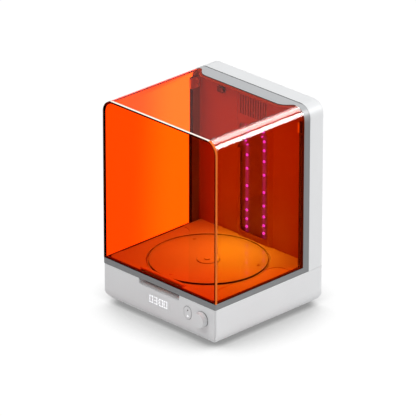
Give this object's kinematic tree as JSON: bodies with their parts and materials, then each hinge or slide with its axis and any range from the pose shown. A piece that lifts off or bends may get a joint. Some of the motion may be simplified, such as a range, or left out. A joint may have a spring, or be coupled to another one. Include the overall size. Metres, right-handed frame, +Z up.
{
  "type": "light curing cabinet",
  "caption": "Table-top light curing cabinet: white base and rear lamp column, orange see-through hood that swings up, clear turntable inside, knob, button and display on the front.",
  "frame": {"origin": "middle of the footprint on the table, knob included in the depth", "axes": "+X to the right seen from the front, -Y towards the front, +Z up"},
  "size_m": [0.24, 0.24, 0.336],
  "materials": {
    "white_plastic": "satin moulded",
    "floor_plastic": "satin moulded",
    "grey_plastic": "satin moulded",
    "panel_plastic": "satin moulded",
    "orange_sheet": "clear, coloured through, polished",
    "clear_sheet": "clear, polished",
    "dark_sheet": "clear, dark tint",
    "dark_plastic": "moulded",
    "rubber": "moulded",
    "slick_plastic": "smooth",
    "steel": "plated",
    "circuit_board": "lacquered",
    "lamp_board": "white lacquered",
    "diode": "clear resin",
    "aluminium": "extruded"
  },
  "bodies": {
    "cabinet": {"base_housing": "white_plastic", "base_plate": "dark_plastic", "rubber_feet": "rubber", "base_screws": "steel", "chamber_floor": "floor_plastic", "glide_pads": "slick_plastic", "gear_motor": "steel", "motor_bracket": "steel", "motor_screws": "steel", "main_board": "circuit_board", "control_board": "circuit_board", "board_screws": "steel", "display_module": "dark_plastic", "encoder_body": "steel", "button_switch": "dark_plastic", "column_shell": "white_plastic", "column_screws": "steel", "back_panel": "panel_plastic", "lamp_window": "dark_sheet", "lamp_board": "lamp_board", "lamp_diodes": "diode", "heat_sink": "aluminium", "fan_frame": "dark_plastic", "fan_screws": "steel", "lid_switch": "dark_plastic", "power_inlet": "dark_plastic", "hinge_leaf_left": "steel", "hinge_leaf_right": "steel", "hinge_screws": "steel"},
    "hood": {"hood_wrap": "orange_sheet", "hood_front": "orange_sheet", "hood_rim": "grey_plastic", "hood_post_left": "grey_plastic", "hood_post_right": "grey_plastic", "hood_frame": "grey_plastic", "hood_bracket_left": "steel", "hood_bracket_right": "steel", "bracket_screws": "steel", "hinge_pins": "steel"},
    "turntable": {"turntable_plate": "clear_sheet", "turntable_hub": "floor_plastic", "drive_shaft": "steel"},
    "control_knob": {"knob": "white_plastic", "encoder_shaft": "steel"},
    "start_button": {"pill_button": "white_plastic"},
    "fan": {"fan_rotor": "dark_plastic"}
  },
  "joints": [
    {"name": "hood_hinge", "type": "hinge", "parent": "cabinet", "child": "hood", "pos_m": [0, 0.0865, 0.33365], "axis": [-1, 0, 0], "range_deg": [0, 78]},
    {"name": "turntable_spin", "type": "hinge", "parent": "cabinet", "child": "turntable", "pos_m": [0, -0.006, 0.076], "axis": [0, 0, 1], "continuous": true},
    {"name": "knob_turn", "type": "hinge", "parent": "cabinet", "child": "control_knob", "pos_m": [0.0925, -0.11, 0.0425], "axis": [0, -1, 0], "continuous": true},
    {"name": "button_press", "type": "slide", "parent": "cabinet", "child": "start_button", "axis": [0, 1, 0], "range_m": [0, 0.0008], "stiffness_N_per_m": 1500},
    {"name": "fan_spin", "type": "hinge", "parent": "cabinet", "child": "fan", "pos_m": [0, 0.103, 0.294], "axis": [0, -1, 0], "continuous": true}
  ]
}
